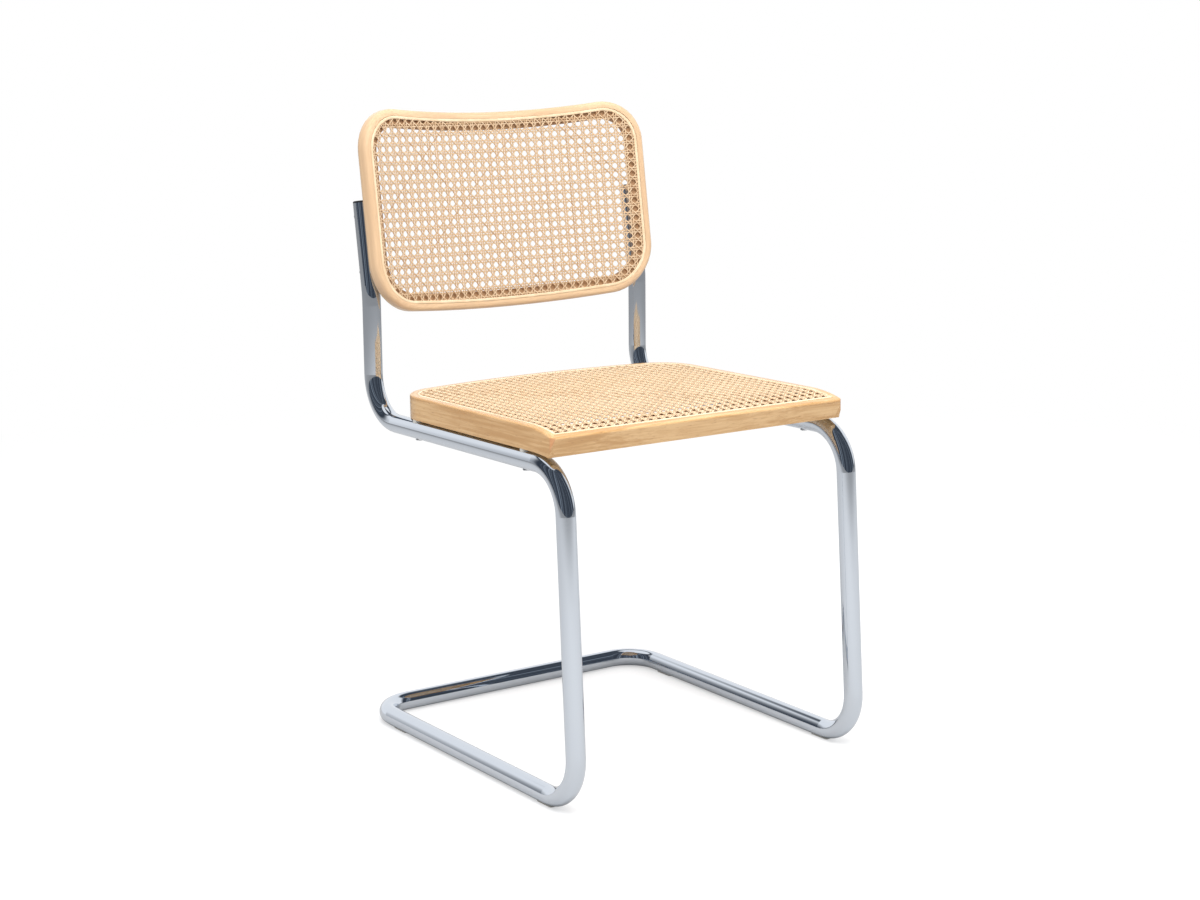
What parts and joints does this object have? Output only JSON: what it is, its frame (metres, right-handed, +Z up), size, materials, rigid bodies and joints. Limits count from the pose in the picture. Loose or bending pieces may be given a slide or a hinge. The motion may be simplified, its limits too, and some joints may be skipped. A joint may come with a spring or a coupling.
{
  "type": "cantilever chair",
  "caption": "Cantilever side chair: one bent chromed steel tube on a floor loop carries a wood framed cane seat and a curved cane back.",
  "frame": {"origin": "on the floor under the middle of the chair", "axes": "+Z up, the sitter faces -Y, +X to the sitter's left"},
  "size_m": [0.4756, 0.5519, 0.8424],
  "materials": {
    "chrome_tube": "polished chromium plate on steel tube",
    "dark_plastic": "moulded plastic",
    "clear_nylon": "natural nylon",
    "beech": "clear satin lacquer",
    "dowel_wood": "fluted hardwood, glued",
    "cane": "woven rattan cane, lightly lacquered",
    "reed": "split reed spline",
    "screw_steel": "zinc plated steel"
  },
  "bodies": {
    "root": {"tube_frame": "chrome_tube", "post_plugs": "dark_plastic", "floor_glides": "clear_nylon", "seat_bent_rail": "beech", "seat_front_rail": "beech", "seat_dowels": "dowel_wood", "seat_cane": "cane", "seat_spline_bent": "reed", "seat_spline_front": "reed", "seat_saddles": "clear_nylon", "seat_screws": "screw_steel", "back_frame": "beech", "back_cane": "cane", "back_spline": "reed", "back_saddles": "clear_nylon", "back_screws": "screw_steel"}
  },
  "joints": []
}
